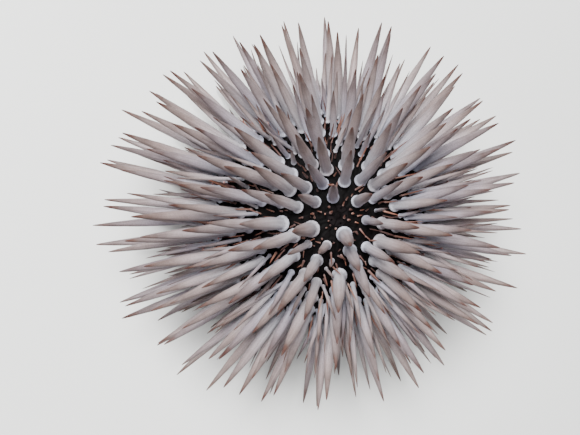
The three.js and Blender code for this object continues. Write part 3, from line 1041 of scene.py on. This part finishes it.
class Nodes:
    """A small helper for building a material's nodes."""

    def __init__(self, name, roughness):
        self.material = bpy.data.materials.new(name)
        self.material.use_nodes = True
        self.tree = self.material.node_tree
        self.shader = self.tree.nodes["Principled BSDF"]
        self.set("Roughness", roughness)

    def set(self, name, value):
        self.shader.inputs[name].default_value = value

    def paint(self, colour):
        self.link(colour, self.shader.inputs["Base Color"])

    def node(self, kind, **settings):
        made = self.tree.nodes.new(kind)
        for key, value in settings.items():
            setattr(made, key, value)
        return made

    def link(self, source, target):
        self.tree.links.new(source, target)

    def value(self, name):
        return self.node("ShaderNodeAttribute", attribute_name=name).outputs["Fac"]

    def math(self, operation, first, second):
        made = self.node("ShaderNodeMath", operation=operation)
        for socket, given in zip(made.inputs, (first, second)):
            if isinstance(given, (int, float)):
                socket.default_value = given
            else:
                self.link(given, socket)
        return made.outputs[0]

    def ramp(self, factor, stops):
        made = self.node("ShaderNodeValToRGB")
        elements = made.color_ramp.elements
        while len(elements) < len(stops):
            elements.new(0.5)
        for element, (place, colour) in zip(elements, stops):
            element.position = place
            element.color = colour
        self.link(factor, made.inputs["Fac"])
        return made.outputs["Color"]

    def noise(self, scale, detail=3.0, vector=None):
        made = self.node("ShaderNodeTexNoise")
        made.inputs["Scale"].default_value = scale
        made.inputs["Detail"].default_value = detail
        if vector is None:
            vector = self.node("ShaderNodeTexCoord").outputs["Object"]
        self.link(vector, made.inputs["Vector"])
        return made.outputs["Fac"]

    def mix_colour(self, factor, first, second, blend="MIX"):
        """Sockets 0, 6 and 7 are the node's factor and its two colours."""
        made = self.node("ShaderNodeMix", data_type="RGBA", blend_type=blend)
        for place, given in ((0, factor), (6, first), (7, second)):
            if isinstance(given, (int, float, tuple)):
                made.inputs[place].default_value = given
            else:
                self.link(given, made.inputs[place])
        return made.outputs[2]

    def tint(self, colour, by, share):
        """A colour multiplied by another one, to a share."""
        return self.mix_colour(share, colour, by, "MULTIPLY")

    def bump(self, height, strength, distance):
        made = self.node("ShaderNodeBump")
        made.inputs["Strength"].default_value = strength
        made.inputs["Distance"].default_value = millimetres(distance)
        self.link(height, made.inputs["Height"])
        self.link(made.outputs["Normal"], self.shader.inputs["Normal"])


def stretched_map(nodes, across, along):
    """The bake map stretched so that a texture on it runs as streaks along each spine."""
    source = nodes.node("ShaderNodeUVMap", uv_map="OFBake")
    scale = nodes.node("ShaderNodeVectorMath", operation="MULTIPLY")
    nodes.link(source.outputs["UV"], scale.inputs[0])
    scale.inputs[1].default_value = (across, along, 1)
    return scale.outputs["Vector"]


def spine_material():
    nodes = Nodes("spine", roughness=0.5)
    # The first stop is painted shade: the spine's foot, where it sits on the skin under the collar, is
    # darker than the collar above it.
    stops = [
        (0.0, linear(150, 146, 156)),
        (0.028, linear(176, 177, 188)),
        (0.036, linear(255, 255, 255)),
        (0.053, linear(255, 255, 255)),
        (0.063, linear(198, 200, 210)),
        (0.13, linear(188, 187, 195)),
        (0.3, linear(183, 179, 184)),
        (0.5, linear(167, 156, 158)),
        (0.7, linear(140, 126, 124)),
        (0.86, linear(108, 94, 91)),
        (0.93, linear(92, 70, 64)),
        (1.0, linear(72, 42, 35)),
    ]
    along = nodes.value("along")
    patches = nodes.math("SUBTRACT", nodes.noise(scale=260, detail=4), 0.5)
    beyond = nodes.math("MULTIPLY", nodes.math("SUBTRACT", along, 0.1), 0.45)
    colour = nodes.ramp(nodes.math("ADD", along, nodes.math("MULTIPLY", patches, beyond)), stops)
    tones = [(0.0, linear(232, 224, 220)), (0.5, linear(252, 252, 253)), (1.0, linear(224, 226, 238))]
    colour = nodes.tint(colour, nodes.ramp(nodes.value("tone"), tones), share=0.9)
    streaks = nodes.noise(scale=1, detail=3, vector=stretched_map(nodes, across=520, along=5))
    shade = nodes.ramp(streaks, [(0.3, linear(196, 188, 186)), (0.62, linear(255, 255, 255))])
    colour = nodes.tint(colour, shade, share=0.6)
    grains = [(0.35, linear(206, 202, 202)), (0.6, linear(255, 255, 255))]
    colour = nodes.tint(colour, nodes.ramp(nodes.noise(scale=3200, detail=2), grains), share=0.5)
    nodes.paint(colour)
    nodes.bump(streaks, strength=0.4, distance=0.1)
    nodes.set("Specular IOR Level", 0.35)
    return nodes.material


def small_spine_material():
    nodes = Nodes("small_spine", roughness=0.5)
    stops = [
        (0.0, linear(110, 90, 90)),
        (0.06, linear(196, 176, 172)),
        (0.2, linear(168, 142, 132)),
        (0.7, linear(148, 112, 98)),
        (1.0, linear(96, 62, 52)),
    ]
    tones = [
        (0.0, linear(120, 104, 108)),
        (0.5, linear(206, 186, 184)),
        (0.85, linear(255, 214, 196)),
        (1.0, linear(255, 255, 255)),
    ]
    colour = nodes.ramp(nodes.value("along"), stops)
    colour = nodes.tint(colour, nodes.ramp(nodes.value("tone"), tones), share=0.95)
    nodes.paint(colour)
    nodes.bump(nodes.noise(scale=2500, detail=2), strength=0.3, distance=0.04)
    return nodes.material


def skin_material():
    nodes = Nodes("skin", roughness=0.75)
    # The skin's colour follows its relief, as painted shade: darkest in the seams, pores and mouth hollow,
    # lighter on the raised bosses.
    high = nodes.math("ADD", nodes.value("along"), 0.6)
    stops = [
        (0.0, linear(3, 2, 2)),
        (0.25, linear(8, 5, 6)),
        (0.7, linear(18, 12, 14)),
        (1.0, linear(40, 29, 33)),
    ]
    colour = nodes.ramp(high, stops)
    colour = nodes.mix_colour(nodes.value("tone"), colour, linear(104, 58, 62))
    mottles = [(0.3, linear(120, 96, 104)), (0.7, linear(255, 240, 240))]
    colour = nodes.tint(colour, nodes.ramp(nodes.noise(scale=420, detail=5), mottles), share=0.8)
    nodes.paint(colour)
    nodes.bump(nodes.noise(scale=1500, detail=4), strength=0.5, distance=0.12)
    nodes.set("Specular IOR Level", 0.08)
    return nodes.material


def tube_foot_material():
    nodes = Nodes("tube_foot", roughness=0.4)
    stops = [
        (0.0, linear(52, 24, 32)),
        (0.6, linear(84, 42, 50)),
        (0.9, linear(104, 60, 64)),
        (1.0, linear(168, 128, 124)),
    ]
    colour = nodes.ramp(nodes.value("along"), stops)
    spots = [(0.35, linear(170, 150, 150)), (0.65, linear(255, 250, 250))]
    colour = nodes.tint(colour, nodes.ramp(nodes.noise(scale=1800, detail=2), spots), share=0.7)
    nodes.paint(colour)
    nodes.set("Subsurface Weight", 0.15)
    nodes.set("Subsurface Radius", (0.0006, 0.0002, 0.0002))
    return nodes.material


def tooth_material():
    nodes = Nodes("tooth", roughness=0.3)
    stops = [(0.0, linear(206, 190, 166)), (0.6, linear(236, 230, 216)), (1.0, linear(248, 246, 240))]
    colour = nodes.ramp(nodes.value("along"), stops)
    streaks = [(0.3, linear(226, 216, 200)), (0.7, linear(255, 255, 255))]
    colour = nodes.tint(colour, nodes.ramp(nodes.noise(scale=900, detail=3), streaks), share=0.6)
    nodes.paint(colour)
    return nodes.material


def floor_material():
    nodes = Nodes("floor", roughness=0.8)
    greys = [(0.3, linear(206, 205, 203)), (0.7, linear(214, 213, 211))]
    nodes.paint(nodes.ramp(nodes.noise(scale=6, detail=3), greys))
    return nodes.material


def make_floor():
    bpy.ops.mesh.primitive_plane_add(size=FLOOR_SIZE)
    floor = bpy.context.object
    floor.name = "floor"
    floor.data.materials.append(floor_material())


def make_light(name, place, size, power, colour):
    data = bpy.data.lights.new(name, "AREA")
    data.size = size
    data.energy = power
    data.color = colour
    light = bpy.data.objects.new(name, data)
    light.location = place
    light.rotation_euler = Vector(place).to_track_quat("Z", "Y").to_euler()
    bpy.context.scene.collection.objects.link(light)


def make_lights():
    for light in LIGHTS:
        make_light(*light)


def make_surroundings():
    """A pale glow round the horizon that fades towards the zenith."""
    world = bpy.data.worlds.new("studio")
    world.use_nodes = True
    tree = world.node_tree
    way = tree.nodes.new("ShaderNodeTexCoord")
    parts = tree.nodes.new("ShaderNodeSeparateXYZ")
    glow = tree.nodes.new("ShaderNodeValToRGB")
    for element, (place, value) in zip(glow.color_ramp.elements, GLOW):
        element.position = place
        element.color = (*(share * value for share in GLOW_TINT), 1)
    tree.links.new(way.outputs["Generated"], parts.inputs["Vector"])
    tree.links.new(parts.outputs["Z"], glow.inputs["Fac"])
    tree.links.new(glow.outputs["Color"], tree.nodes["Background"].inputs["Color"])
    bpy.context.scene.world = world


def make_camera():
    data = bpy.data.cameras.new("camera")
    data.sensor_fit = "HORIZONTAL"
    data.angle = VIEW_ANGLE
    focal = PHOTO_WIDTH / 2 / math.tan(VIEW_ANGLE / 2)
    back = Vector((-math.sin(CAMERA_TILT), 0, math.cos(CAMERA_TILT)))
    right = Vector((0, 1, 0)).cross(back).normalized()
    up = back.cross(right)
    centre = Vector(TEST_PLACE) + Vector((0, 0, WIDEST_LEVEL))
    aim = right * (CENTRE_RIGHT_OF_MIDDLE / focal) + up * (CENTRE_ABOVE_MIDDLE / focal)
    place = centre - CAMERA_DISTANCE * (aim - back)
    camera = bpy.data.objects.new("camera", data)
    turn = Matrix((right, up, back)).transposed().to_4x4()
    camera.matrix_world = Matrix.Translation(millimetres(place)) @ turn
    bpy.context.scene.collection.objects.link(camera)
    bpy.context.scene.camera = camera


make_camera()
make_lights()
make_surroundings()
make_floor()
spine_surface = spine_material()
soft_foot = tube_foot_material()
large = all_spines()
test_skin(large, skin_material())
large_spines(large, spine_surface)
middling = middling_spines(large, spine_surface)
small = small_spines(large + middling, small_spine_material())
tube_feet(large + middling + small, soft_foot)
mouth_feet(soft_foot)
teeth(tooth_material())
